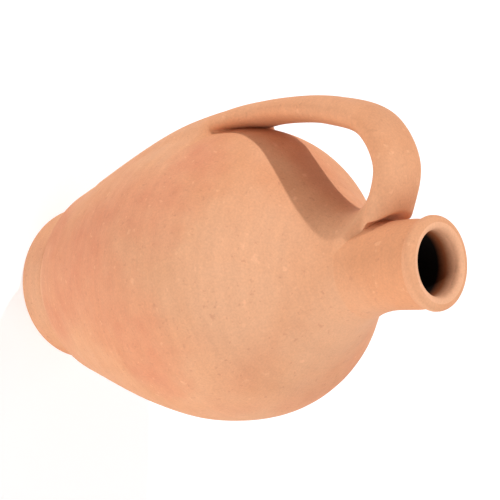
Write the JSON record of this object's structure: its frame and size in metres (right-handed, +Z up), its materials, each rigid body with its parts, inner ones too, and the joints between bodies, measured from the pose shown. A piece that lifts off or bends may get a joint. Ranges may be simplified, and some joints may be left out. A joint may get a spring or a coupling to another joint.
{
  "type": "amphora",
  "caption": "Unglazed terracotta jug on a flat foot, with a full belly, a narrow neck, a rolled lip and one strap handle from the neck down to the belly.",
  "frame": {"origin": "centre of the foot's flat underside, on the vessel's axis", "axes": "+Z up along the vessel's axis from the foot to the mouth, +X from the axis towards the strap handle, so XZ is the mirror plane"},
  "size_m": [0.1797, 0.1696, 0.3],
  "materials": {
    "foot_clay": "unglazed, matt, finely pitted",
    "body_clay": "unglazed, matt, with faint throwing rings and flushed patches",
    "neck_clay": "unglazed, matt, finely sanded",
    "lip_clay": "unglazed, matt, paler and rubbed smooth",
    "handle_clay": "unglazed, matt, smoothed lengthways",
    "luting_clay": "unglazed, matt, smeared by hand"
  },
  "bodies": {
    "root": {"base_disc": "foot_clay", "foot_band": "foot_clay", "lower_body": "body_clay", "belly": "body_clay", "shoulder": "body_clay", "neck": "neck_clay", "lip": "lip_clay", "handle": "handle_clay", "lower_handle_luting": "luting_clay", "upper_handle_luting": "luting_clay"}
  },
  "joints": []
}
